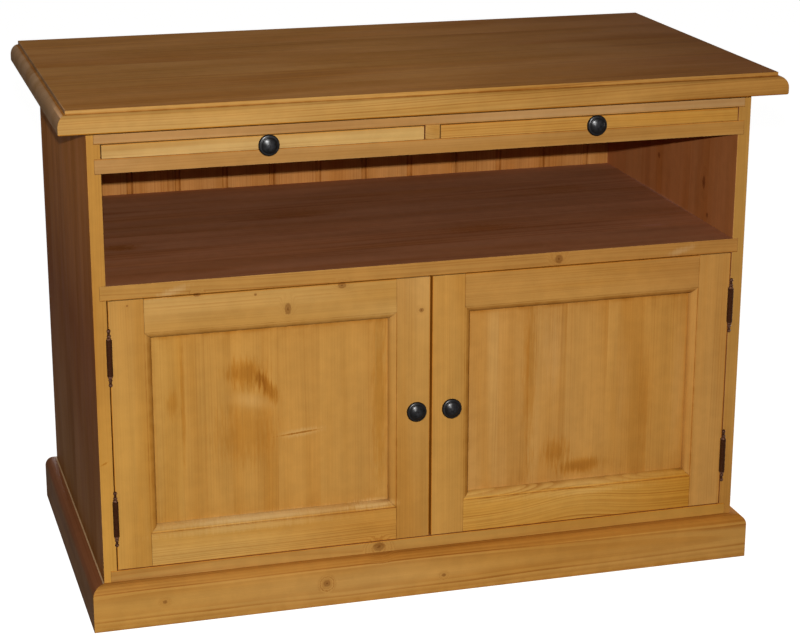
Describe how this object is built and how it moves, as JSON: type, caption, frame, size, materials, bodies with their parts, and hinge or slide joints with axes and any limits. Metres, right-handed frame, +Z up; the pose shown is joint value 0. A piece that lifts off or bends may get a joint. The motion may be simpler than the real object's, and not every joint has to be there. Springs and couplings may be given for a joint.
{
  "type": "tv sideboard",
  "caption": "Waxed pine TV sideboard with a moulded top, pull-out slides under it, an open niche with a matchboarded back and a cupboard with framed doors.",
  "frame": {"origin": "on the floor under the middle of the top board", "axes": "+Z up, +X to the viewer's right, the front faces -Y"},
  "size_m": [1.06, 0.562, 0.765],
  "materials": {
    "pine": "waxed honey pine",
    "pine_top": "waxed honey pine",
    "black_iron": "satin black",
    "dark_bronze": "satin dark bronze",
    "steel": "plain",
    "catch_plastic": "brown"
  },
  "bodies": {
    "carcass": {"top_panel": "pine_top", "sub_top": "pine", "side_panel_left": "pine", "side_panel_right": "pine", "cupboard_floor": "pine", "cupboard_shelf": "pine", "niche_shelf": "pine", "slide_deck": "pine", "slide_divider": "pine", "plinth_front": "pine", "plinth_left": "pine", "plinth_right": "pine", "door_catch": "catch_plastic", "back_board_01": "pine", "back_board_02": "pine", "back_board_03": "pine", "back_board_04": "pine", "back_board_05": "pine", "back_board_06": "pine", "back_board_07": "pine", "back_board_08": "pine", "back_board_09": "pine", "back_board_10": "pine", "back_board_11": "pine", "back_board_12": "pine", "back_board_13": "pine", "hinge_frame_leaf_left_upper": "dark_bronze", "hinge_frame_leaf_left_lower": "dark_bronze", "hinge_frame_leaf_right_upper": "dark_bronze", "hinge_frame_leaf_right_lower": "dark_bronze", "hinge_pin_left_upper": "dark_bronze", "hinge_pin_left_lower": "dark_bronze", "hinge_pin_right_upper": "dark_bronze", "hinge_pin_right_lower": "dark_bronze"},
    "door_left": {"door_left_hinge_stile": "pine", "door_left_meeting_stile": "pine", "door_left_top_rail": "pine", "door_left_bottom_rail": "pine", "door_left_panel": "pine", "door_left_knob": "black_iron", "door_left_strike": "steel", "hinge_door_leaf_left_upper": "dark_bronze", "hinge_door_leaf_left_lower": "dark_bronze"},
    "door_right": {"door_right_hinge_stile": "pine", "door_right_meeting_stile": "pine", "door_right_top_rail": "pine", "door_right_bottom_rail": "pine", "door_right_panel": "pine", "door_right_knob": "black_iron", "door_right_strike": "steel", "hinge_door_leaf_right_upper": "dark_bronze", "hinge_door_leaf_right_lower": "dark_bronze"},
    "slide_left": {"slide_left_board": "pine", "slide_left_knob": "black_iron", "slide_left_stop": "pine"},
    "slide_right": {"slide_right_board": "pine", "slide_right_knob": "black_iron", "slide_right_stop": "pine"}
  },
  "joints": [
    {"name": "left_door_hinge", "type": "hinge", "parent": "carcass", "child": "door_left", "pos_m": [-0.46875, -0.2498, 0.28755], "axis": [0, 0, -1], "range_deg": [0, 170]},
    {"name": "right_door_hinge", "type": "hinge", "parent": "carcass", "child": "door_right", "pos_m": [0.46875, -0.2498, 0.28755], "axis": [0, 0, 1], "range_deg": [0, 170]},
    {"name": "left_slide_pull", "type": "slide", "parent": "carcass", "child": "slide_left", "axis": [0, -1, 0], "range_m": [0, 0.28]},
    {"name": "right_slide_pull", "type": "slide", "parent": "carcass", "child": "slide_right", "axis": [0, -1, 0], "range_m": [0, 0.28]}
  ]
}
